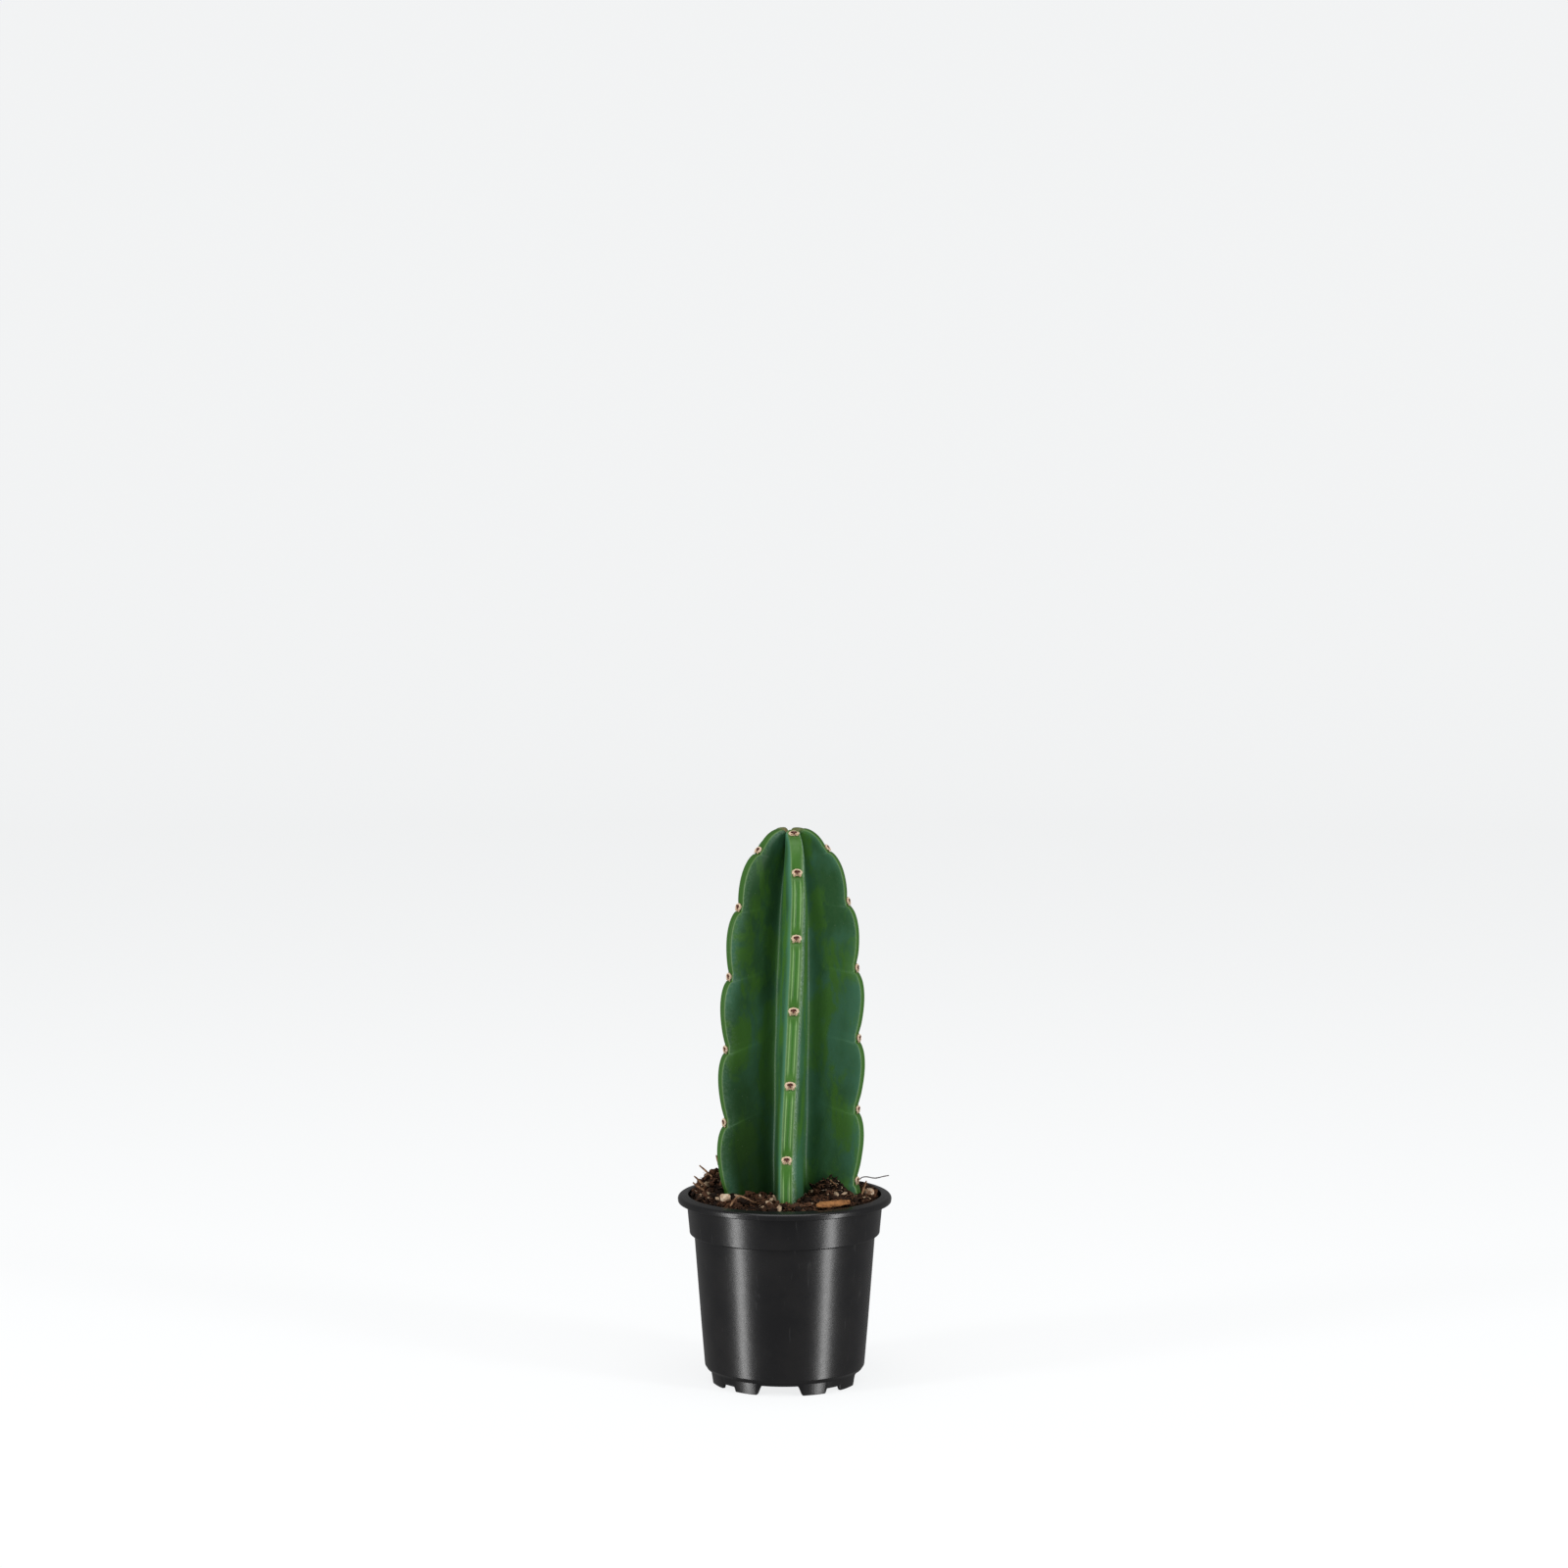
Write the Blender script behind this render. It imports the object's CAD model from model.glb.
"""The looks of the potted tall cactus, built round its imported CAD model.

Everything is in metres with +Z up, in the CAD frame: the origin is the middle of the pot's
underside and the plant's front faces -Y. Lengths with names in capitals are in millimetres.
Azimuth 0 points to -Y and positive azimuths turn towards +X.
"""
import math
import random

import bmesh
import bpy
import numpy as np
from mathutils import Euler, Matrix, Vector, noise


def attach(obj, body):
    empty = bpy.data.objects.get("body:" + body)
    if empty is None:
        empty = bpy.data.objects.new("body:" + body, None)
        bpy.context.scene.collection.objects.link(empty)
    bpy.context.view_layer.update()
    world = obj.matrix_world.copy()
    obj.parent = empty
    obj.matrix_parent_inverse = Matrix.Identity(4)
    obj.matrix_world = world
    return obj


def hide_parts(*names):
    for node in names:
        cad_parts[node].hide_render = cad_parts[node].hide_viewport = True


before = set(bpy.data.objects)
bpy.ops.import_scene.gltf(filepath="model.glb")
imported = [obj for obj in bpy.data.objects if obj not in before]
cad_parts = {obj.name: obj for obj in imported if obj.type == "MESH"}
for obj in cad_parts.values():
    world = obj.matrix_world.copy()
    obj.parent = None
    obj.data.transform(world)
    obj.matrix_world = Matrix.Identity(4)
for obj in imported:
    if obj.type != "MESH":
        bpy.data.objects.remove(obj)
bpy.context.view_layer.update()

MM = 0.001
BODY = "root"

# Pot, as the CAD has it.
RIM_RADIUS = 54.0
POT_HEIGHT = 95.5
WALL = 1.2
LIP_DROP = 3.9
BAND_TOP_RADIUS = 49.5
BAND_FOOT_RADIUS = 48.1
BAND_FOOT_Z = 75.4
BODY_TOP_RADIUS = 45.8
BODY_FOOT_RADIUS = 40.4
BODY_FOOT_Z = 8.0
FOOT_TOP_RADIUS = 38.0
FOOT_RADIUS = 37.2
FOOT_WALL = 1.6
FLOOR_Z = 6.6
NOTCH_TURN = -4.0
WIDE_NOTCH = (24.0, 4.8)
NARROW_NOTCH = (10.4, 2.4)
DRAIN_RADIUS = 4.0
DRAIN_CIRCLE = 26.0
POT_STEPS = 512

# Cactus, as the CAD has it.
STEM_X = 3.3
STEM_Y = 1.0
RIBS = 5
AREOLE_RADIUS = 35.4
TIP_Z = 280.5
DOME_FOOT_Z = 150.0
DOME_RADIUS_POWER = 2.4
DOME_HEIGHT_POWER = 3.0
BUTT_TOP_Z = 110.0
BUTT_Z = 64.0
BUTT_POWER = 3.0
VALLEY_SHARE = 0.395
VALLEY_TIP_Z = 272.0
TIP_HOLLOW_RADIUS = 3.2
CREST_HALF_WIDTH = 3.3
CREST_SHOULDER = 0.8
FLANK_BELLY = 0.7
BULGE = 3.2
TIP_LOBE = 1.0
BULGE_FULL_LENGTH = 38.0
BULGE_SKEW = 0.7
SEAT_DEPTH = 0.3
SEAT_HALF_LENGTH = 2.3
TWIST_FOOT = -3.8
TWIST_START_Z = 117.0
TWIST_END_Z = 270.0
TWIST_RATE = 0.074
RIB_TABLE = (
    ("front", 0.0, -0.05, 37.5),
    ("right", 72.0, 0.55, 36.0),
    ("back_right", 144.0, 0.8, 37.0),
    ("back_left", -141.0, 0.2, 37.5),
    ("left", -68.0, 0.55, 37.5),
)
AREOLES_PER_RIB = 6
FIRST_AREOLE_ARC = 10.8
YOUNG_SHORTENING = 19.8
YOUNG_REACH = 0.9
FLANK_SHARES = (0.36, 0.72)
LOBE_RINGS = 44
SIDE_BLOOM = 0.22            # wax on the other ribs, over that on the front one
SECTION_STEPS = (7, 7, 8, 5, 16, 5, 8, 7, 7)
SECTION_KNOTS = (9.0, 9.0, 7.5, 1.7, 4.0, 1.7, 7.5, 9.0, 9.0)

# Potting mix, as the CAD has it.
SOIL_RIM_Z = 93.5
SOIL_CROWN_Z = 96.0
SOIL_LEVEL_RADIUS = 38.0
SOIL_DIP_WIDTH = 10.0
SOIL_GRAIN = 0.21
SOIL_ROUGHNESS = 1.2
HEAPS = (
    (23.0, -15.0, 9.5, 9.0),
    (-33.0, 12.0, 8.5, 10.0),
    (-16.0, -34.0, -2.5, 8.0),
    (8.0, 40.0, 3.0, 9.0),
)
SOIL_EDGE = 47.4
GAP = 0.3

# Studio: each soft light's name, azimuth, distance, height, width, length (m) and power (W).
WORLD_LIGHT = 0.17
SOFT_LIGHTS = (
    ("strip_left", -60.0, 1.5, 0.15, 0.28, 2.3, 21.0),
    ("strip_right", 57.0, 1.5, 0.15, 0.28, 2.3, 21.0),
    ("overhead", 0.0, 0.4, 1.9, 1.6, 1.6, 14.0),
)


def direction(azimuth):
    angle = math.radians(azimuth)
    return Vector((math.sin(angle), -math.cos(angle), 0.0))


def smoothstep(low, high, value):
    share = min(max((value - low) / (high - low), 0.0), 1.0)
    return share * share * (3 - 2 * share)


def new_object(name, mesh, material):
    piece = bpy.data.objects.new(name, mesh)
    bpy.context.scene.collection.objects.link(piece)
    if material and not mesh.materials:
        mesh.materials.append(material)
    return piece


def make_mesh(name, points, faces, values=None, smooth=True):
    """A mesh of points in millimetres, with a number per point for each name in values."""
    mesh = bpy.data.meshes.new(name)
    mesh.from_pydata([(x * MM, y * MM, z * MM) for x, y, z in points], [], faces)
    mesh.validate()
    if smooth:
        mesh.shade_smooth()
    for key, numbers in (values or {}).items():
        layer = mesh.attributes.new(key, "FLOAT", "POINT")
        layer.data.foreach_set("value", np.asarray(numbers, dtype=np.float32))
    mesh.update()
    return mesh


def tube_grid(rows, count, closed=True):
    """Faces between rows of count points each, going round."""
    faces = []
    for row in range(rows - 1):
        for i in range(count if closed else count - 1):
            j = (i + 1) % count
            a = row * count
            faces.append((a + i, a + count + i, a + count + j, a + j))
    return faces


class Nodes:
    """A short way to write a material's node tree."""

    def __init__(self, name, roughness, specular=0.5):
        self.material = bpy.data.materials.new(name)
        self.material.use_nodes = True
        self.tree = self.material.node_tree
        self.shader = self.tree.nodes["Principled BSDF"]
        self.shader.inputs["Roughness"].default_value = roughness
        self.shader.inputs["Specular IOR Level"].default_value = specular

    def put(self, socket, value):
        if isinstance(value, bpy.types.NodeSocket):
            self.tree.links.new(value, socket)
        elif isinstance(value, tuple) and len(value) == 3 and socket.type == "RGBA":
            socket.default_value = (*value, 1.0)
        else:
            socket.default_value = value

    def coords(self, scale=(1.0, 1.0, 1.0)):
        source = self.tree.nodes.new("ShaderNodeTexCoord")
        mapping = self.tree.nodes.new("ShaderNodeMapping")
        mapping.inputs["Scale"].default_value = scale
        self.tree.links.new(source.outputs["Object"], mapping.inputs["Vector"])
        return mapping.outputs["Vector"]

    def noise(self, scale, detail=3.0, rough=0.5, stretch=(1.0, 1.0, 1.0), distortion=0.0):
        node = self.tree.nodes.new("ShaderNodeTexNoise")
        node.inputs["Scale"].default_value = scale
        node.inputs["Detail"].default_value = detail
        node.inputs["Roughness"].default_value = rough
        node.inputs["Distortion"].default_value = distortion
        self.tree.links.new(self.coords(stretch), node.inputs["Vector"])
        return node.outputs["Fac"]

    def cells(self, scale, stretch=(1.0, 1.0, 1.0)):
        node = self.tree.nodes.new("ShaderNodeTexVoronoi")
        node.inputs["Scale"].default_value = scale
        self.tree.links.new(self.coords(stretch), node.inputs["Vector"])
        return node.outputs["Distance"]

    def attribute(self, name):
        node = self.tree.nodes.new("ShaderNodeAttribute")
        node.attribute_name = name
        return node.outputs["Fac"]

    def math(self, operation, a, b=0.0, clamp=False):
        node = self.tree.nodes.new("ShaderNodeMath")
        node.operation = operation
        node.use_clamp = clamp
        self.put(node.inputs[0], a)
        self.put(node.inputs[1], b)
        return node.outputs[0]

    def ramp(self, value, low, high, out_low=0.0, out_high=1.0):
        node = self.tree.nodes.new("ShaderNodeMapRange")
        node.interpolation_type = "SMOOTHSTEP"
        node.inputs["From Min"].default_value = low
        node.inputs["From Max"].default_value = high
        node.inputs["To Min"].default_value = out_low
        node.inputs["To Max"].default_value = out_high
        self.put(node.inputs["Value"], value)
        return node.outputs["Result"]

    def mix(self, share, a, b):
        node = self.tree.nodes.new("ShaderNodeMix")
        node.data_type = "RGBA"
        self.put(node.inputs["Factor"], share)
        self.put(node.inputs["A"], a)
        self.put(node.inputs["B"], b)
        return node.outputs["Result"]

    def colour(self, value):
        self.put(self.shader.inputs["Base Color"], value)

    def roughness(self, value):
        self.put(self.shader.inputs["Roughness"], value)

    def bump(self, height, strength, distance):
        node = self.tree.nodes.new("ShaderNodeBump")
        node.inputs["Strength"].default_value = strength
        node.inputs["Distance"].default_value = distance
        previous = self.shader.inputs["Normal"].links
        if previous:
            self.tree.links.new(previous[0].from_socket, node.inputs["Normal"])
        self.put(node.inputs["Height"], height)
        self.tree.links.new(node.outputs["Normal"], self.shader.inputs["Normal"])


# ---------------------------------------------------------------- materials

def skin_material():
    """Waxy skin: dark mottled flanks, a light green crest with two bright lines, pale bloom."""
    n = Nodes("cactus_skin", 0.45, 0.32)
    across = n.attribute("across")
    distance = n.math("ABSOLUTE", across)
    side = n.ramp(across, -0.5, 0.5)
    lines = n.attribute("lines")
    depth = n.attribute("depth")
    shade = n.attribute("shade")
    broad = n.noise(38.0, 4.0, 0.55, (1.0, 1.0, 0.6))
    patches = n.noise(75.0, 5.0, 0.62, (1.0, 1.0, 0.42), 0.4)
    fine = n.noise(620.0, 4.0, 0.7)
    blue_green = (0.046, 0.150, 0.080)
    deep_green = (0.027, 0.100, 0.030)
    leaf_green = (0.052, 0.160, 0.018)
    flank = n.mix(n.ramp(broad, 0.4, 0.62), blue_green, deep_green)
    flank = n.mix(n.ramp(patches, 0.46, 0.58, 0.0, 0.9), flank, leaf_green)
    flank = n.mix(n.ramp(fine, 0.4, 0.75, 0.0, 0.22), flank, (0.05, 0.13, 0.04))
    flank = n.mix(n.math("MULTIPLY", shade, 0.85), flank, (0.008, 0.034, 0.004))
    teal = (0.095, 0.275, 0.175)
    grey_bloom = (0.30, 0.42, 0.33)
    bloom_reach = n.ramp(distance, 3.2, 10.0, 1.0, 0.0)
    speckle = n.ramp(n.noise(900.0, 3.0, 0.65), 0.42, 0.62, 0.25, 1.0)
    waxy = n.math("MULTIPLY", bloom_reach, n.attribute("bloom"))
    left_bloom = n.math("MULTIPLY", waxy, 0.6)
    right_bloom = n.math("MULTIPLY", n.math("MULTIPLY", waxy, speckle), 0.75)
    with_left = n.mix(left_bloom, flank, teal)
    with_right = n.mix(right_bloom, flank, grey_bloom)
    flank = n.mix(side, with_left, with_right)
    crest_green = (0.074, 0.205, 0.036)
    crest_mottle = n.mix(n.ramp(patches, 0.4, 0.65), crest_green, (0.048, 0.155, 0.020))
    groove = n.ramp(distance, 0.2, 1.1, 1.0, 0.0)
    crest = n.mix(n.math("MULTIPLY", groove, n.math("MULTIPLY", lines, 0.85)),
                  crest_mottle, (0.045, 0.17, 0.022))
    off_line = n.math("ABSOLUTE", n.math("SUBTRACT", distance, 1.45))
    bright = n.math("MULTIPLY", n.ramp(off_line, 0.08, 0.38, 1.0, 0.0), lines)
    crest = n.mix(n.math("MULTIPLY", bright, 0.75), crest, (0.30, 0.52, 0.19))
    shaded = n.ramp(n.attribute("bloom"), 0.3, 0.9, 0.85, 0.0)
    crest = n.mix(shaded, crest, (0.040, 0.130, 0.018))
    surface = n.mix(n.ramp(distance, 2.3, 3.6), crest, flank)
    edge = n.math("ABSOLUTE", n.math("SUBTRACT", distance, 2.9))
    surface = n.mix(n.ramp(edge, 0.1, 0.55, 0.45, 0.0), surface, (0.17, 0.30, 0.09))
    cork = n.math("MULTIPLY", n.attribute("tan"), n.ramp(fine, 0.3, 0.6, 0.35, 1.0))
    surface = n.mix(cork, surface, (0.33, 0.22, 0.12))
    specks = n.ramp(n.cells(420.0), 0.0, 0.09, 0.55, 0.0)
    surface = n.mix(n.math("MULTIPLY", specks, n.ramp(broad, 0.5, 0.6)), surface, (0.45, 0.5, 0.4))
    surface = n.mix(n.math("MULTIPLY", depth, 0.35), surface, (0.010, 0.05, 0.03))
    n.colour(surface)
    n.roughness(n.ramp(fine, 0.3, 0.7, 0.34, 0.50))
    n.bump(n.noise(240.0, 3.0, 0.5, (1.0, 1.0, 0.7)), 0.25, 0.0006)
    n.bump(fine, 0.25, 0.0002)
    return n.material


def wool_material():
    n = Nodes("areole_wool", 0.9, 0.15)
    felt = n.attribute("felt")
    mottle = n.noise(1500.0, 3.0, 0.6)
    cream = n.mix(n.ramp(mottle, 0.35, 0.65), (0.86, 0.71, 0.53), (0.70, 0.49, 0.32))
    brown = n.mix(n.ramp(mottle, 0.4, 0.6), (0.115, 0.028, 0.016), (0.05, 0.014, 0.010))
    n.colour(n.mix(felt, brown, cream))
    n.shader.inputs["Sheen Weight"].default_value = 0.15
    n.bump(mottle, 0.6, 0.0003)
    return n.material


def plastic_material():
    n = Nodes("pot_plastic", 0.27, 0.5)
    broad = n.noise(60.0, 4.0, 0.6)
    fine = n.noise(900.0, 4.0, 0.7)
    black = n.mix(n.ramp(broad, 0.35, 0.7), (0.0085, 0.0085, 0.0095), (0.013, 0.0125, 0.013))
    dust = n.ramp(n.cells(260.0), 0.0, 0.045, 0.5, 0.0)
    black = n.mix(n.math("MULTIPLY", dust, n.ramp(broad, 0.5, 0.62)), black, (0.30, 0.29, 0.27))
    scuffs = n.ramp(n.noise(420.0, 2.0, 0.5, (1.0, 1.0, 0.12), 1.2), 0.66, 0.74, 0.0, 0.12)
    black = n.mix(scuffs, black, (0.12, 0.12, 0.12))
    n.colour(black)
    n.roughness(n.ramp(fine, 0.3, 0.7, 0.25, 0.28))
    n.bump(broad, 0.10, 0.0012)
    n.bump(fine, 0.02, 0.0001)
    return n.material


def soil_material(name, light, dark, odd, dark_share=0.5):
    """Crumb colours that change from one piece to the next through the piece attribute."""
    n = Nodes(name, 0.92, 0.2)
    piece = n.attribute("piece")
    grain = n.noise(1100.0, 4.0, 0.7)
    tone = n.mix(n.ramp(piece, dark_share - 0.2, dark_share + 0.35), dark, light)
    tone = n.mix(n.ramp(piece, 0.95, 0.965), tone, odd)
    tone = n.mix(n.ramp(grain, 0.35, 0.7, 0.0, 0.6), tone, dark)
    n.colour(tone)
    n.bump(grain, 0.7, 0.0005)
    return n.material


def woody_material(name, light, dark, scale=300.0):
    n = Nodes(name, 0.8, 0.25)
    grain = n.noise(scale, 4.0, 0.65, (1.0, 0.35, 1.0), 0.5)
    fine = n.noise(1300.0, 3.0, 0.7)
    tone = n.mix(n.ramp(grain, 0.38, 0.62), dark, light)
    tone = n.mix(n.ramp(fine, 0.4, 0.75, 0.0, 0.45), tone, dark)
    n.colour(tone)
    n.bump(grain, 0.6, 0.0005)
    n.bump(fine, 0.4, 0.0002)
    return n.material


# ---------------------------------------------------------------- stem

class Outline:
    """The line that one rib's areoles lie on, as radius and height over arc length from the tip."""

    def __init__(self):
        sweep = np.linspace(0.0, math.pi / 2, 600)
        rise = TIP_Z - DOME_FOOT_Z
        dome_radius = AREOLE_RADIUS * np.sin(sweep) ** (2 / DOME_RADIUS_POWER)
        dome_z = DOME_FOOT_Z + rise * np.cos(sweep) ** (2 / DOME_HEIGHT_POWER)
        drop = BUTT_TOP_Z - BUTT_Z
        butt_radius = AREOLE_RADIUS * np.cos(sweep) ** (2 / BUTT_POWER)
        butt_z = BUTT_TOP_Z - drop * np.sin(sweep) ** (2 / BUTT_POWER)
        self.radius = np.concatenate([dome_radius, butt_radius])
        self.z = np.concatenate([dome_z, butt_z])
        steps = np.hypot(np.diff(self.radius), np.diff(self.z))
        self.arc = np.concatenate([[0.0], np.cumsum(steps)])
        self.length = float(self.arc[-1])

    def point(self, arc):
        return float(np.interp(arc, self.arc, self.radius)), float(np.interp(arc, self.arc, self.z))

    def normal(self, arc):
        before = self.point(max(arc - 0.8, 0.0))
        after = self.point(min(arc + 0.8, self.length))
        along = Vector((after[0] - before[0], after[1] - before[1])).normalized()
        return -along.y, along.x


OUTLINE = Outline()


def areole_arc(rib, number):
    _, _, lag, spacing = rib
    age = number + lag
    return FIRST_AREOLE_ARC + spacing * age - YOUNG_SHORTENING * (1 - math.exp(-age / YOUNG_REACH))


def rib_azimuth(rib, z):
    climb = min(max(z, TWIST_START_Z), TWIST_END_Z) - TWIST_START_Z
    return TWIST_FOOT + TWIST_RATE * climb + rib[1]


def lobe_height(share, length):
    full = BULGE * min(1.0, length / BULGE_FULL_LENGTH) ** 2
    wave = math.sin(math.pi * share ** BULGE_SKEW)
    return (full + SEAT_DEPTH) * max(wave, 0.0) ** 0.8 - SEAT_DEPTH


def crest_point(rib, arc, height):
    radius, z = OUTLINE.point(arc)
    along, up = OUTLINE.normal(arc)
    out = direction(rib_azimuth(rib, z))
    normal = Vector((out.x * along, out.y * along, up))
    hollow = (TIP_Z - VALLEY_TIP_Z) * math.exp(-(radius / TIP_HOLLOW_RADIUS) ** 2)
    centre = Vector((out.x * radius, out.y * radius, z - hollow)) + normal * height
    side = Vector((-out.y, out.x, 0.0))
    return centre, normal, side


def valley_point(rib, next_rib, arc):
    radius, z = OUTLINE.point(arc)
    turn_to_next = (next_rib[1] - rib[1]) % 360.0
    out = direction(rib_azimuth(rib, z) + turn_to_next / 2)
    above = max(z - DOME_FOOT_Z, 0.0)
    z -= above * (TIP_Z - VALLEY_TIP_Z) / (TIP_Z - DOME_FOOT_Z)
    return Vector((out.x * radius * VALLEY_SHARE, out.y * radius * VALLEY_SHARE, z))


def ring_schedule():
    """Every ring: each rib's arc length, crest height, segment and share down the lobe."""
    stops = []
    for rib in RIB_TABLE:
        arcs = [areole_arc(rib, number) for number in range(AREOLES_PER_RIB)]
        stops.append([0.0] + arcs + [OUTLINE.length])
    rings = []
    for segment in range(AREOLES_PER_RIB + 1):
        at_tip = segment == 0
        at_butt = segment == AREOLES_PER_RIB
        if not at_tip:
            for offset in (-0.5, 0.0, 0.5):
                rings.append([(stop[segment] + offset * SEAT_HALF_LENGTH, -SEAT_DEPTH, segment, 0.0)
                              for stop in stops])
        for step in range(LOBE_RINGS + 1):
            even = (step + (1 if at_tip else 0)) / (LOBE_RINGS + (1 if at_tip or at_butt else 0))
            share = even - math.sin(2 * math.pi * even) / (2 * math.pi) * 0.55
            ring = []
            for stop in stops:
                first = stop[segment] + (0.0 if at_tip else SEAT_HALF_LENGTH)
                last = stop[segment + 1] - (0.0 if at_butt else SEAT_HALF_LENGTH)
                height = lobe_height(share, stop[segment + 1] - stop[segment])
                if at_tip:
                    height = TIP_LOBE * math.sin(math.pi * share) - SEAT_DEPTH * share
                ring.append((first + share * (last - first), height, segment, share))
            rings.append(ring)
    return rings


def ring_controls(ring):
    """One ring's control points, nine to a rib, and each rib's outward normal."""
    points = []
    normals = []
    for index, rib in enumerate(RIB_TABLE):
        arc, height = ring[index][:2]
        next_index = (index + 1) % RIBS
        centre, normal, side = crest_point(rib, arc, height)
        half = min(CREST_HALF_WIDTH, 0.5 * OUTLINE.point(arc)[0])
        size = half / CREST_HALF_WIDTH
        shoulder = normal * CREST_SHOULDER * size
        left_valley = valley_point(RIB_TABLE[index - 1], rib, (arc + ring[index - 1][0]) / 2)
        right_valley = valley_point(rib, RIB_TABLE[next_index], (arc + ring[next_index][0]) / 2)
        left_edge = centre - side * half - shoulder
        right_edge = centre + side * half - shoulder
        belly = side * FLANK_BELLY * size
        points.append(left_valley)
        points.extend(left_valley.lerp(left_edge, share) - belly for share in FLANK_SHARES)
        points += [left_edge, centre - side * half * 0.6, centre + side * half * 0.6, right_edge]
        points.extend(right_valley.lerp(right_edge, share) + belly for share in reversed(FLANK_SHARES))
        normals.append(normal * size)
    return points, normals


def section_weights():
    """Weights that turn a ring's control points into its smooth section, with the distance across."""
    controls = RIBS * len(SECTION_KNOTS)
    spans = [SECTION_KNOTS[i % len(SECTION_KNOTS)] for i in range(controls)]
    rows = []
    across = []
    whole = sum(SECTION_KNOTS)
    for i in range(controls):
        before, span, after = spans[i - 1], spans[i], spans[(i + 1) % controls]
        steps = SECTION_STEPS[i % len(SECTION_STEPS)]
        start = sum(SECTION_KNOTS[:i % len(SECTION_KNOTS)])
        for step in range(steps):
            t = step / steps
            h00 = 2 * t ** 3 - 3 * t ** 2 + 1
            h10 = t ** 3 - 2 * t ** 2 + t
            h01 = -2 * t ** 3 + 3 * t ** 2
            h11 = t ** 3 - t ** 2
            row = np.zeros(controls)
            row[i] += h00
            row[(i + 1) % controls] += h01
            row[(i + 1) % controls] += h10 * span / (before + span)
            row[i - 1] -= h10 * span / (before + span)
            row[(i + 2) % controls] += h11 * span / (span + after)
            row[i] -= h11 * span / (span + after)
            rows.append(row)
            across.append(start + t * span - whole / 2)
    return np.array(rows), np.array(across)


def crest_relief(across, lines):
    """Height of the two fine ridges and the groove between them, in millimetres."""
    ridge = np.exp(-((np.abs(across) - 1.45) / 0.5) ** 2)
    groove = np.exp(-(across / 0.75) ** 2)
    return lines * (0.22 * ridge - 0.30 * groove)


def build_stem(material):
    weights, across = section_weights()
    per_rib = len(across) // RIBS
    points = []
    values = {"across": [], "lines": [], "depth": [], "shade": [], "tan": [], "bloom": []}
    for ring in ring_schedule():
        controls, normals = ring_controls(ring)
        section = weights @ np.array(controls)
        for rib in range(RIBS):
            arc, _, segment, share = ring[rib]
            seat = min(share, 1 - share) if segment else 1 - share
            lines = 0.0 if segment < 2 else smoothstep(0.02, 0.16, seat)
            low = rib * per_rib
            high = low + per_rib
            here = across[low:high]
            relief = crest_relief(here, lines)
            section[low:high] += np.outer(relief, np.array(normals[rib]))
            z_mean = OUTLINE.point(arc)[1]
            near_tip = 1.0 - smoothstep(2.0, 9.0, arc)
            values["across"].extend(here)
            values["lines"].extend([lines] * per_rib)
            values["depth"].extend(np.clip((np.abs(here) - 18.0) / 11.0, 0.0, 1.0))
            on_left_face = here < 0 if rib == 0 else (here > 0) & (rib == RIBS - 1)
            side_shade = (1.0 - smoothstep(95.0, 185.0, z_mean)) * np.where(on_left_face, 1.0, 0.1)
            values["shade"].extend(side_shade * np.clip((np.abs(here) - 5.0) / 6.0, 0.0, 1.0))
            values["tan"].extend(near_tip * np.exp(-(here / 3.6) ** 2))
            values["bloom"].extend([1.0 if rib == 0 else SIDE_BLOOM] * per_rib)
        points.append(section)
    count = len(across)
    grid = np.array(points)
    rows = len(grid)
    flat = grid.reshape(-1, 3)
    wander = np.array([noise.noise_vector(Vector(p) * 0.045) for p in flat])
    flat = flat + wander * 0.35 * np.clip((np.abs(values["across"]) - 3.0) / 6.0, 0.0, 1.0)[:, None]
    flat = np.concatenate([flat, [[0.0, 0.0, VALLEY_TIP_Z], [0.0, 0.0, BUTT_Z]]])
    for key in values:
        values[key] += [1.0 if key == "tan" else 0.0, 0.0]
    flat += np.array([STEM_X, STEM_Y, 0.0])
    faces = tube_grid(rows, count)
    tip = rows * count
    last = (rows - 1) * count
    for i in range(count):
        j = (i + 1) % count
        faces.append((tip, i, j))
        faces.append((tip + 1, last + j, last + i))
    mesh = make_mesh("stem_skin", flat, faces, values)
    stem = new_object("stem_skin", mesh, material)
    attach(stem, BODY)
    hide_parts("cactus_stem")
    return grid


# ---------------------------------------------------------------- areoles

def add_blob(points, faces, values, centre, size, seed, felt, rough=0.2, rings=7, around=12):
    """A rounded lump with a noisy surface."""
    start = len(points)
    for row in range(rings + 1):
        polar = math.pi * row / rings
        for step in range(around):
            angle = 2 * math.pi * step / around
            unit = Vector((math.sin(polar) * math.cos(angle), math.sin(polar) * math.sin(angle),
                           math.cos(polar)))
            swell = 1 + rough * noise.noise(unit * 2.2 + Vector((seed, 0.3 * seed, 0.0)))
            points.append((centre[0] + unit.x * size[0] * swell, centre[1] + unit.y * size[1] * swell,
                           centre[2] + unit.z * size[2] * swell))
            values.append(felt)
    faces.extend(tuple(start + i for i in face) for face in tube_grid(rings + 1, around))


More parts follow.
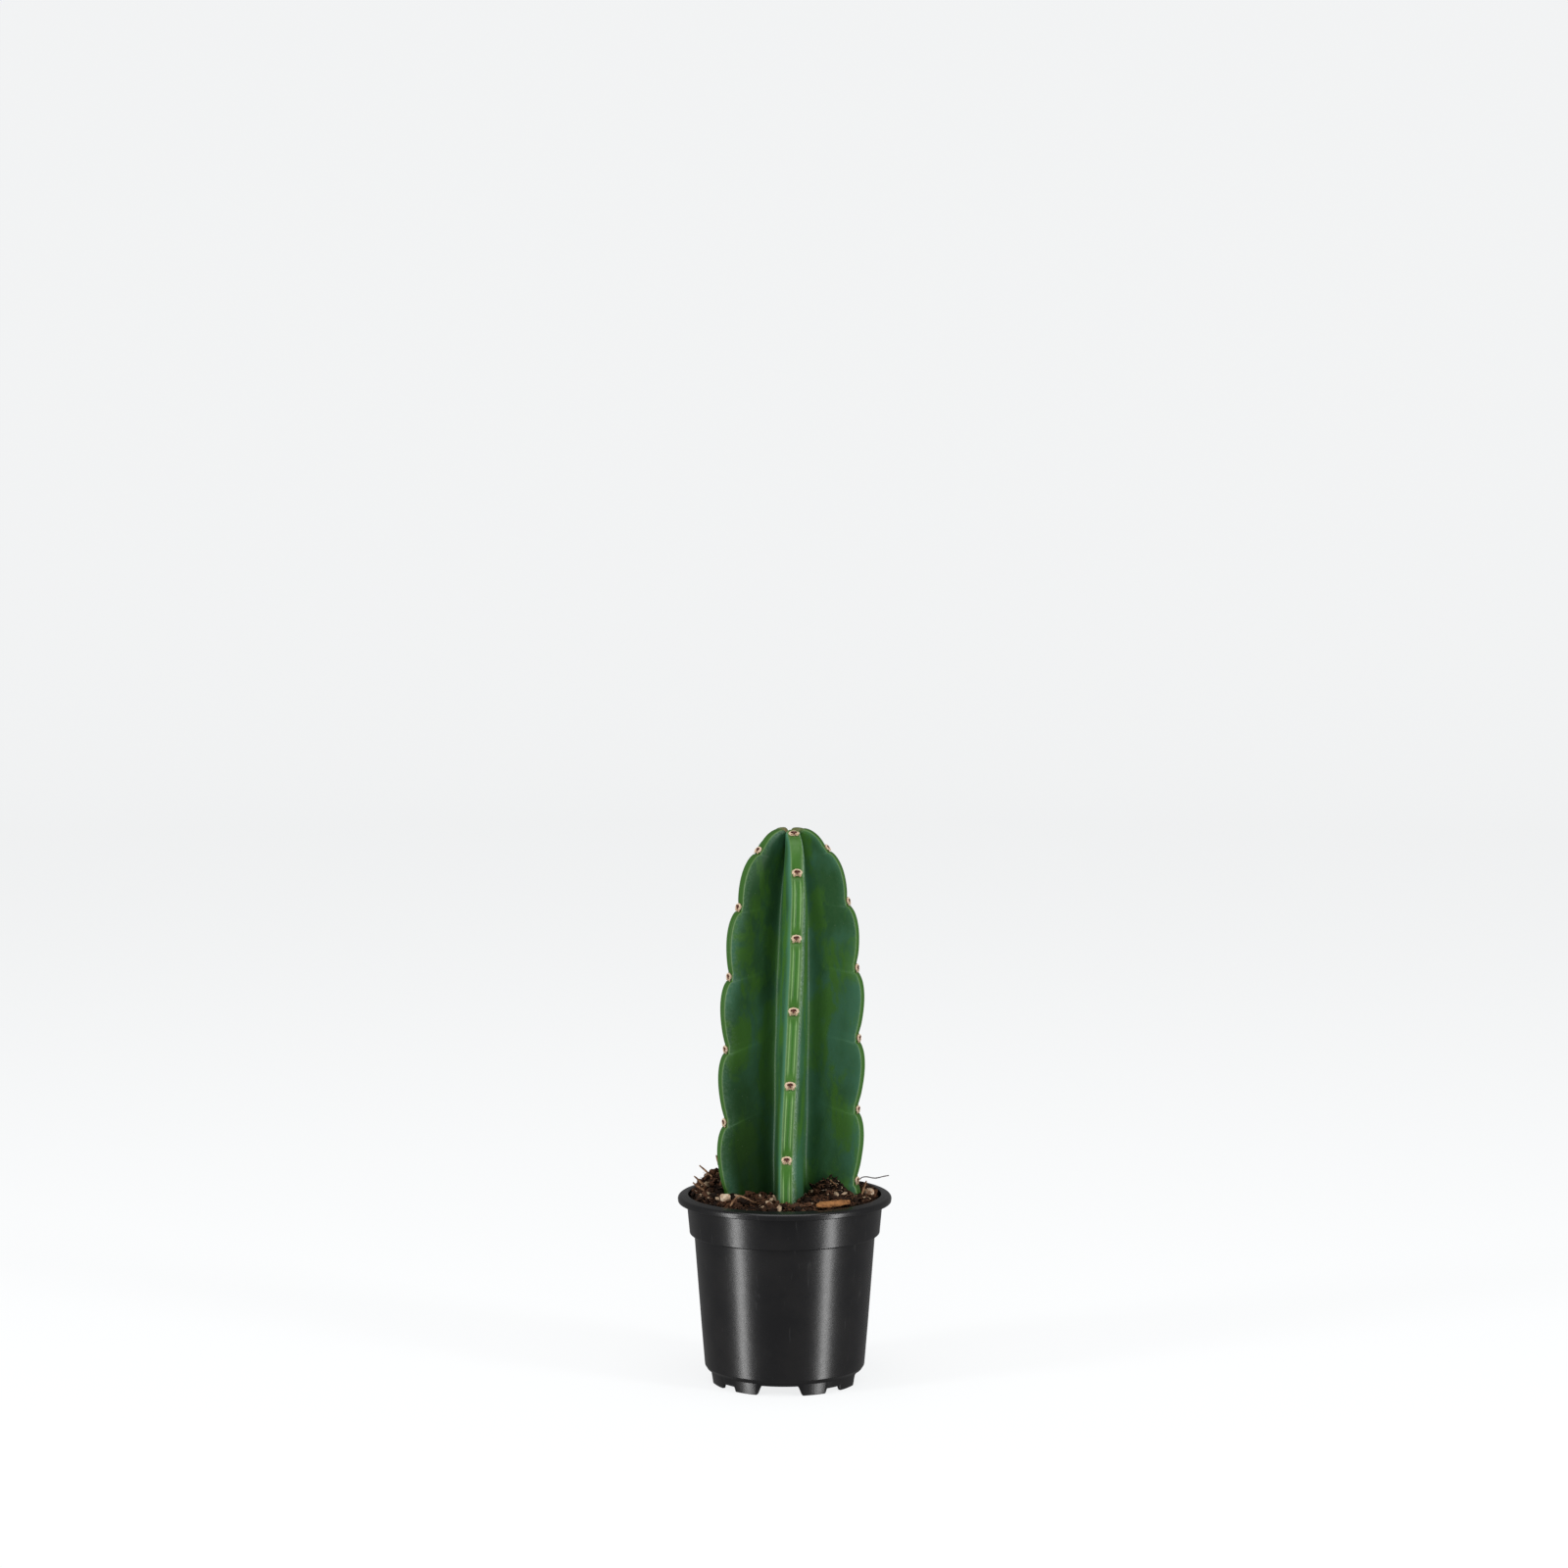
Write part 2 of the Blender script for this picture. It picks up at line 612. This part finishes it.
def add_hair(points, faces, values, path, radius, felt, sides=4):
    """A thin tapering strand along a path of vectors."""
    start = len(points)
    for index, place in enumerate(path):
        ahead = path[min(index + 1, len(path) - 1)] - path[max(index - 1, 0)]
        frame_side = ahead.cross(Vector((0.31, 0.52, 0.79))).normalized()
        frame_up = ahead.cross(frame_side).normalized()
        width = radius * (1 - 0.75 * index / (len(path) - 1))
        for step in range(sides):
            angle = 2 * math.pi * step / sides
            ring_place = place + (frame_side * math.cos(angle) + frame_up * math.sin(angle)) * width
            points.append(tuple(ring_place))
            values.append(felt)
    faces.extend(tuple(start + i for i in face) for face in tube_grid(len(path), sides))
    faces.append(tuple(start + i for i in range(sides)))
    end = start + (len(path) - 1) * sides
    faces.append(tuple(end + i for i in reversed(range(sides))))


def areole_shape(seed):
    """Felt in an arch round a dark heart, with tufts hanging below, lying in the XY plane."""
    rng = random.Random(seed)
    points, faces, values = [], [], []
    add_blob(points, faces, values, (0.0, 0.0, -0.1), (2.3, 1.6, 0.8), seed, 1.0)
    for step in range(15):
        angle = math.radians(-38 + 256 * step / 14)
        place = (2.05 * math.cos(angle), 1.35 * math.sin(angle), 0.45)
        size = 0.62 + 0.12 * rng.random()
        add_blob(points, faces, values, place, (size, size * 0.8, size * 0.8), seed + step, 1.0, 0.5, 5, 8)
    for lobe in (-1, 1):
        add_blob(points, faces, values, (0.62 * lobe, 0.42, 0.8), (0.78, 0.62, 0.5), seed + lobe, 0.0, 0.4)
    add_blob(points, faces, values, (0.0, -0.25, 0.8), (0.62, 0.85, 0.45), seed + 5, 0.05, 0.4)
    for _ in range(150):
        angle = rng.uniform(0, 2 * math.pi)
        reach = rng.uniform(0.75, 1.05)
        foot = Vector((2.1 * math.cos(angle) * reach, 1.4 * math.sin(angle) * reach, 0.35))
        lean = Vector((math.cos(angle) * 0.5, math.sin(angle) * 0.45 - 0.25, rng.uniform(0.5, 1.1)))
        lean = lean * rng.uniform(0.5, 1.0)
        add_hair(points, faces, values, [foot + lean * t + Vector((0, -0.25, 0)) * t * t
                                         for t in (0.0, 0.5, 1.0)], 0.075, 1.0)
    for tuft_x in (-1.5, 1.45):
        for _ in range(26):
            foot = Vector((tuft_x + rng.uniform(-0.5, 0.5), -0.9 + rng.uniform(-0.2, 0.2), 0.5))
            drop = Vector((rng.uniform(-0.3, 0.3), -rng.uniform(0.9, 1.7), rng.uniform(-0.1, 0.35)))
            add_hair(points, faces, values, [foot + drop * t for t in (0.0, 0.5, 1.0)], 0.09, 1.0)
    return make_mesh("areole_shape_%d" % seed, points, faces, {"felt": values})


def build_areoles(material):
    shapes = [areole_shape(seed) for seed in range(1, 6)]
    rng = random.Random(11)
    for rib in RIB_TABLE:
        for number in range(AREOLES_PER_RIB):
            node = "areole_%s_%d" % (rib[0], number + 1)
            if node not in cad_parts:
                continue
            centre, normal, side = crest_point(rib, areole_arc(rib, number), -SEAT_DEPTH + 0.15)
            up = normal.cross(side)
            turn_matrix = Matrix((side, up, normal)).transposed().to_4x4()
            mesh = shapes[rng.randrange(len(shapes))]
            piece = new_object("felt_%s_%d" % (rib[0], number + 1), mesh, material)
            place = Matrix.Translation((centre + Vector((STEM_X, STEM_Y, 0.0))) * MM)
            size = rng.uniform(0.94, 1.04)
            piece.matrix_world = place @ turn_matrix @ Matrix.Diagonal((size, size, size, 1.0))
            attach(piece, BODY)
            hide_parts(node)


# ---------------------------------------------------------------- pot

def arc_points(centre, radius, start, end, steps):
    """Points on an arc from one angle to another, in degrees from +radius towards +z."""
    points = []
    for step in range(steps + 1):
        angle = math.radians(start + (end - start) * step / steps)
        points.append((centre[0] + radius * math.cos(angle), centre[1] + radius * math.sin(angle)))
    return points


def pot_profile():
    """From the middle of the floor's top, up the inside, over the lip and down to the foot."""
    top = POT_HEIGHT
    lip_foot = POT_HEIGHT - LIP_DROP
    profile = [(0.0, FLOOR_Z + WALL), (14.0, FLOOR_Z + WALL), (30.0, FLOOR_Z + WALL)]
    profile += arc_points((BODY_FOOT_RADIUS - WALL - 1.4, FLOOR_Z + WALL + 1.4), 1.4, -90, -4, 5)
    profile += [
        (BODY_TOP_RADIUS - WALL, BAND_FOOT_Z - 0.4),
        (BAND_FOOT_RADIUS - WALL, BAND_FOOT_Z + 1.4),
        (BAND_TOP_RADIUS - WALL, lip_foot - 0.6),
    ]
    profile += arc_points((BAND_TOP_RADIUS - 0.1, top - 0.75), 0.75, 180, 92, 6)
    profile += [(BAND_TOP_RADIUS + 0.5, top - 0.06), (RIM_RADIUS - 2.6, top - 0.55)]
    profile += arc_points((RIM_RADIUS - 1.9, top - 2.5), 1.9, 72, -6, 9)
    profile += [(RIM_RADIUS - 0.12, lip_foot + 0.5)]
    profile += arc_points((RIM_RADIUS - 0.62, lip_foot + 0.35), 0.5, -10, -120, 5)
    profile += [(RIM_RADIUS - 1.9, lip_foot + 0.5), (BAND_TOP_RADIUS + 0.5, lip_foot + 0.55)]
    profile += arc_points((BAND_TOP_RADIUS + 0.5, lip_foot + 0.05), 0.5, 90, 178, 4)
    profile += [
        (BAND_TOP_RADIUS - 0.05, lip_foot - 0.5),
        (BAND_TOP_RADIUS - 0.5, lip_foot - 5.5),
        (BAND_FOOT_RADIUS + 0.1, BAND_FOOT_Z + 2.2),
    ]
    profile += arc_points((BAND_FOOT_RADIUS - 0.75, BAND_FOOT_Z + 0.75), 0.75, 6, -90, 6)
    profile += arc_points((BODY_TOP_RADIUS + 0.5, BAND_FOOT_Z - 0.6), 0.6, 90, 176, 4)
    profile += [
        (BODY_TOP_RADIUS - 0.15, BAND_FOOT_Z - 1.2),
        (BODY_TOP_RADIUS - 1.9, BAND_FOOT_Z - 24.0),
        (BODY_FOOT_RADIUS + 1.7, BODY_FOOT_Z + 20.0),
        (BODY_FOOT_RADIUS + 0.12, BODY_FOOT_Z + 1.2),
    ]
    profile += arc_points((BODY_FOOT_RADIUS - 0.9, BODY_FOOT_Z + 0.6), 0.95, 0, -58, 5)
    profile += [
        (BODY_FOOT_RADIUS - 1.0, BODY_FOOT_Z - 1.3),
        (FOOT_TOP_RADIUS + 0.35, FLOOR_Z + 0.05),
        (FOOT_TOP_RADIUS, FLOOR_Z - 0.25),
        (FOOT_TOP_RADIUS - 0.1, FLOOR_Z - 0.9),
    ]
    return profile


def foot_clearance(azimuth):
    """How far the foot ring's lower edge stands off the table, from its rounded notches."""
    best = 0.0
    for number in range(8):
        width, height = NARROW_NOTCH if number % 2 else WIDE_NOTCH
        offset = (azimuth - NOTCH_TURN - 45.0 * number + 180.0) % 360.0 - 180.0
        across = abs(math.radians(offset)) * FOOT_RADIUS
        best = max(best, height * (1.0 - smoothstep(width / 2 * 0.76, width / 2, across)))
    return best


def build_pot(material):
    profile = pot_profile()
    foot = [
        (FOOT_RADIUS + 0.06, 0.4),
        (FOOT_RADIUS, 0.12),
        (FOOT_RADIUS - 0.15, 0.0),
        (FOOT_RADIUS - FOOT_WALL + 0.15, 0.0),
        (FOOT_RADIUS - FOOT_WALL, 0.12),
    ]
    under = [(FOOT_TOP_RADIUS - FOOT_WALL - 0.1, FLOOR_Z - 0.4), (FOOT_TOP_RADIUS - FOOT_WALL - 0.6, FLOOR_Z),
             (30.0, FLOOR_Z), (12.0, FLOOR_Z)]
    points = []
    rows = len(profile) + len(foot) + len(under)
    for index in range(rows):
        for step in range(POT_STEPS):
            azimuth = 360.0 * step / POT_STEPS
            if index < len(profile):
                radius, z = profile[index]
            elif index < len(profile) + len(foot):
                radius, z = foot[index - len(profile)]
                z += foot_clearance(azimuth)
            else:
                radius, z = under[index - len(profile) - len(foot)]
            radius = max(radius, 0.4)
            out = direction(azimuth) * radius
            points.append((out.x, out.y, z))
    faces = tube_grid(rows, POT_STEPS)
    faces.append(tuple(range(POT_STEPS)))
    faces.append(tuple((rows - 1) * POT_STEPS + i for i in reversed(range(POT_STEPS))))
    mesh = make_mesh("nursery_pot", points, faces)
    mesh.set_sharp_from_angle(angle=math.radians(50))
    pot = new_object("nursery_pot", mesh, material)
    cut_drains(pot)
    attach(pot, BODY)
    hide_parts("pot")


def cut_drains(pot):
    bm = bmesh.new()
    for number in range(5):
        spot = direction(NOTCH_TURN + 90.0 * number) * DRAIN_CIRCLE if number < 4 else Vector()
        place = Matrix.Translation(Vector((spot.x, spot.y, FLOOR_Z + WALL / 2)) * MM)
        bmesh.ops.create_cone(bm, cap_ends=True, segments=40, radius1=DRAIN_RADIUS * MM,
                              radius2=DRAIN_RADIUS * MM, depth=4 * WALL * MM, matrix=place)
    mesh = bpy.data.meshes.new("drain_cutter")
    bm.to_mesh(mesh)
    bm.free()
    cutter = new_object("drain_cutter", mesh, None)
    boolean = pot.modifiers.new("drains", "BOOLEAN")
    boolean.operation = "DIFFERENCE"
    boolean.solver = "EXACT"
    boolean.object = cutter
    bpy.context.view_layer.update()
    shaped = bpy.data.meshes.new_from_object(pot.evaluated_get(bpy.context.evaluated_depsgraph_get()))
    pot.modifiers.clear()
    pot.data = shaped
    bpy.data.objects.remove(cutter, do_unlink=True)


# ---------------------------------------------------------------- potting mix

def soil_height(x, y):
    """The height of the potting mix over a point, in millimetres."""
    radius = math.hypot(x, y)
    wall = min(max((radius - SOIL_LEVEL_RADIUS) / SOIL_DIP_WIDTH, 0.0), 1.0)
    height = SOIL_CROWN_Z + (SOIL_RIM_Z - SOIL_CROWN_Z) * wall * wall
    for heap_x, heap_y, rise, spread in HEAPS:
        distance = math.hypot(x - heap_x, y - heap_y) / spread
        height += rise * math.exp(-distance * distance)
    lumps = noise.noise(Vector((x, y, 0.0)) * SOIL_GRAIN)
    return height + SOIL_ROUGHNESS * lumps * (1 - 0.5 * wall)


def inside_section(section, x, y):
    """Whether a point lies in the stem where it leaves the mix."""
    crossings = False
    for (ax, ay), (bx, by) in zip(section, section[1:] + section[:1]):
        if (ay > y) != (by > y) and x < (bx - ax) * (y - ay) / (by - ay) + ax:
            crossings = not crossings
    return crossings


def stem_section(grid):
    """The stem's outline at the height of the mix, as (x, y) in millimetres."""
    heights = [abs(float(np.mean(row[:, 2])) - SOIL_CROWN_Z - 1.0) for row in grid]
    row = grid[int(np.argmin(heights))]
    return [(float(x) + STEM_X, float(y) + STEM_Y) for x, y, _ in row[::3]]


def ground_material():
    n = Nodes("peat_ground", 0.95, 0.15)
    grain = n.noise(700.0, 5.0, 0.75)
    tone = n.mix(n.ramp(grain, 0.4, 0.7), (0.010, 0.006, 0.004), (0.045, 0.022, 0.012))
    n.colour(tone)
    n.bump(grain, 1.0, 0.001)
    return n.material


def build_ground(material):
    """The body of the mix: a crumbly top, the wall that the pot gives it, and its underside."""
    rows = 84
    around = 260
    points = []
    for row in range(rows):
        radius = 0.5 + (SOIL_EDGE - 0.5) * row / (rows - 1)
        for step in range(around):
            out = direction(360.0 * step / around) * radius
            crumbs = noise.fractal(Vector((out.x, out.y, 7.0)) * 0.55, 0.6, 2.1, 4)
            points.append((out.x, out.y, soil_height(out.x, out.y) - 0.7 + 0.9 * crumbs))
    inset = WALL + GAP
    below = ((BAND_FOOT_RADIUS - inset, BAND_FOOT_Z + 2.6), (BODY_TOP_RADIUS - inset - 0.1, BAND_FOOT_Z),
             (BODY_FOOT_RADIUS - inset, FLOOR_Z + WALL + 2.0),
             (BODY_FOOT_RADIUS - inset - 0.8, FLOOR_Z + WALL + GAP))
    for radius, z in below:
        for step in range(around):
            out = direction(360.0 * step / around) * radius
            points.append((out.x, out.y, z))
    faces = tube_grid(rows + len(below), around)
    faces.append(tuple(reversed(range(around))))
    last = (rows + len(below) - 1) * around
    faces.append(tuple(last + i for i in reversed(range(around))))
    ground = new_object("mix_body", make_mesh("mix_body", points, faces), material)
    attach(ground, BODY)
    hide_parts("potting_soil")


def unit_blob(subdivisions):
    bm = bmesh.new()
    bmesh.ops.create_icosphere(bm, subdivisions=subdivisions, radius=1.0)
    points = np.array([vert.co[:] for vert in bm.verts])
    faces = np.array([[vert.index for vert in face.verts] for face in bm.faces])
    bm.free()
    return points, faces


def scatter(name, count, shape, seed, sizes, material, section, lift):
    """Strew rough crumbs over the mix: sizes gives the least and greatest of each half axis."""
    rng = random.Random(seed)
    numbers = np.random.default_rng(seed)
    base, base_faces = shape
    points, faces, values = [], [], []
    placed = 0
    while placed < count:
        radius = (SOIL_EDGE - 0.9) * math.sqrt(rng.random())
        out = direction(rng.uniform(0.0, 360.0)) * radius
        size = [low + (high - low) * rng.random() ** 1.8 for low, high in sizes]
        turn_matrix = Euler((rng.uniform(-0.9, 0.9), rng.uniform(-0.9, 0.9), rng.uniform(0, 6.3)))
        if inside_section(section, out.x, out.y) or radius + size[0] * 0.8 > SOIL_EDGE + 0.4:
            continue
        jitter = 1.0 + 0.34 * (numbers.random(len(base)) - 0.5)
        body = (base * jitter[:, None] * np.array(size)) @ np.array(turn_matrix.to_matrix()).T
        height = soil_height(out.x, out.y) - 0.5 + lift * rng.random() ** 2
        faces.append(base_faces + sum(len(block) for block in points))
        points.append(body + np.array([out.x, out.y, height]))
        patch = 0.5 + 0.9 * noise.noise(Vector((out.x, out.y, 3.0)) * 0.075)
        values.extend([0.55 * rng.random() + 0.45 * min(max(patch, 0.0), 1.0)
                       if rng.random() < 0.965 else 0.99] * len(base))
        placed += 1
    flat = np.concatenate(points)
    mesh = make_mesh(name, flat, np.concatenate(faces).tolist(), {"piece": values}, smooth=False)
    crumbs = new_object(name, mesh, material)
    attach(crumbs, BODY)


def build_fibres(section, material):
    """Short curved strands of coir and root in the top of the mix."""
    rng = random.Random(77)
    points, faces, values = [], [], []
    placed = 0
    while placed < 760:
        radius = (SOIL_EDGE - 2.5) * math.sqrt(rng.random())
        out = direction(rng.uniform(0.0, 360.0)) * radius
        if inside_section(section, out.x, out.y):
            continue
        heading = rng.uniform(0.0, 2 * math.pi)
        bend = rng.uniform(-1.2, 1.2)
        climb = rng.uniform(-0.1, 0.5) * rng.random()
        length = rng.uniform(2.5, 7.5)
        place = Vector((out.x, out.y, soil_height(out.x, out.y) + rng.uniform(-0.2, 0.7)))
        path = [place.copy()]
        for step in range(6):
            heading += bend / 6
            place = place + Vector((math.cos(heading), math.sin(heading), climb)) * (length / 6)
            path.append(place.copy())
        if math.hypot(place.x, place.y) > SOIL_EDGE or inside_section(section, place.x, place.y):
            continue
        shade = [rng.random()]
        marks = []
        add_hair(points, faces, marks, path, rng.uniform(0.10, 0.26), 0.0, 5)
        values.extend(shade * len(marks))
        placed += 1
    mesh = make_mesh("mix_fibres", points, faces, {"piece": values})
    fibres = new_object("mix_fibres", mesh, material)
    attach(fibres, BODY)


# ---------------------------------------------------------------- loose pieces

def weathered(node, name, material, grain, depth, seed):
    """A rough copy of a loose CAD piece: rounded, refined, then ridged along its length."""
    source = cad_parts[node]
    bm = bmesh.new()
    bm.from_mesh(source.data)
    bmesh.ops.remove_doubles(bm, verts=bm.verts, dist=0.01 * MM)
    mesh = bpy.data.meshes.new(name)
    bm.to_mesh(mesh)
    bm.free()
    piece = new_object(name, mesh, material)
    refine = piece.modifiers.new("refine", "SUBSURF")
    refine.levels = 3
    bpy.context.view_layer.update()
    evaluated = piece.evaluated_get(bpy.context.evaluated_depsgraph_get())
    fine = bpy.data.meshes.new_from_object(evaluated)
    piece.modifiers.remove(refine)
    piece.data = fine
    places = np.array([vert.co[:] for vert in fine.vertices]) / MM
    axis = np.linalg.svd(places - places.mean(axis=0), full_matrices=False)[2][0]
    for vert, place in zip(fine.vertices, places):
        spot = Vector((place - axis * (place @ axis) * 0.75) * grain) + Vector((seed, 0.0, 0.0))
        ridges = noise.fractal(spot, 0.7, 2.1, 4)
        vert.co += vert.normal * ridges * depth * MM
    fine.shade_smooth()
    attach(piece, BODY)
    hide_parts(node)


def build_litter():
    bark = woody_material("orange_bark", (0.46, 0.21, 0.075), (0.17, 0.065, 0.025))
    husk = woody_material("pale_husk", (0.80, 0.66, 0.50), (0.42, 0.25, 0.15), 500.0)
    stalk = woody_material("tan_stalk", (0.42, 0.24, 0.13), (0.14, 0.07, 0.04), 500.0)
    dark = woody_material("dark_root", (0.09, 0.06, 0.05), (0.03, 0.02, 0.015), 500.0)
    weathered("bark_chip", "bark_piece", bark, 1.1, 0.45, 3.0)
    weathered("husk_flake", "husk_piece", husk, 1.3, 0.4, 8.0)
    weathered("wood_nugget", "nugget_piece", husk, 1.3, 0.4, 5.0)
    for node in sorted(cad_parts):
        if node.startswith("twig_"):
            weathered(node, node.replace("twig", "stalk"), stalk, 1.6, 0.14, 1.0)
    weathered("curled_root", "curl_strand", stalk, 1.6, 0.14, 2.0)
    weathered("root_thread", "thread_strand", dark, 1.6, 0.08, 4.0)


def build_studio():
    """A pale paper bowl all round, two tall soft strips in front and a soft light overhead."""
    paper = Nodes("studio_paper", 0.95, 0.0)
    paper.colour((0.24, 0.242, 0.245))
    paper.shader.inputs["Emission Color"].default_value = (0.985, 0.995, 1.0, 1.0)
    paper.shader.inputs["Emission Strength"].default_value = 0.83
    paper.material.cycles.emission_sampling = "NONE"
    floor_radius = 3200.0
    bend = 900.0
    profile = [(0.5, 0.0), (400.0, 0.0), (1200.0, 0.0), (floor_radius, 0.0)]
    for step in range(1, 25):
        angle = math.radians(90.0 * step / 24)
        profile.append((floor_radius + bend * math.sin(angle), bend * (1 - math.cos(angle))))
    profile.append((floor_radius + bend, 4500.0))
    around = 96
    points = []
    for radius, z in profile:
        for step in range(around):
            out = direction(360.0 * step / around) * radius
            points.append((out.x, out.y, z))
    faces = tube_grid(len(profile), around)
    faces.append(tuple(range(around)))
    bowl = new_object("studio_bowl", make_mesh("studio_bowl", points, faces), paper.material)
    bowl.visible_glossy = False
    bowl.visible_diffuse = False
    bowl.visible_shadow = False
    world = bpy.data.worlds.new("studio")
    world.use_nodes = True
    background = world.node_tree.nodes["Background"]
    background.inputs["Color"].default_value = (1.0, 1.0, 1.0, 1.0)
    background.inputs["Strength"].default_value = WORLD_LIGHT
    bpy.context.scene.world = world
    target = Vector((0.0, 0.0, 0.14))
    for name, azimuth, distance, z, width, height, power in SOFT_LIGHTS:
        light = bpy.data.lights.new(name, "AREA")
        light.shape = "RECTANGLE"
        light.size = width
        light.size_y = height
        light.energy = power
        lamp = bpy.data.objects.new(name, light)
        bpy.context.scene.collection.objects.link(lamp)
        lamp.location = direction(azimuth) * distance + Vector((0.0, 0.0, z))
        aim = (target if name == "overhead" else Vector((0.0, 0.0, z))) - lamp.location
        lamp.rotation_euler = aim.to_track_quat("-Z", "Y").to_euler()


def build_camera():
    camera = bpy.data.cameras.new("camera")
    camera.lens = 85.0
    camera.sensor_width = 36.0
    camera.clip_end = 50.0
    shot = bpy.data.objects.new("camera", camera)
    bpy.context.scene.collection.objects.link(shot)
    shot.location = (-0.00034, -1.850, 0.4474)
    shot.rotation_euler = Euler((math.radians(90.0 - 4.47), 0.0, 0.0))
    bpy.context.scene.camera = shot
    bpy.context.scene.view_settings.view_transform = "Standard"


build_camera()
build_studio()
build_litter()
build_pot(plastic_material())
stem_grid = build_stem(skin_material())
build_areoles(wool_material())
section = stem_section(stem_grid)
build_ground(ground_material())
coir = soil_material("coir_crumbs", (0.15, 0.068, 0.036), (0.017, 0.009, 0.006), (0.62, 0.45, 0.30), 0.5)
scatter("mix_chunks", 800, unit_blob(2), 21, ((0.9, 3.2), (0.7, 2.0), (0.6, 1.7)), coir, section, 2.0)
scatter("mix_crumbs", 2600, unit_blob(1), 22, ((0.4, 1.9), (0.3, 0.8), (0.25, 0.7)), coir, section, 2.0)
strands = soil_material("coir_strands", (0.36, 0.19, 0.11), (0.07, 0.032, 0.018), (0.7, 0.55, 0.4), 0.4)
build_fibres(section, strands)
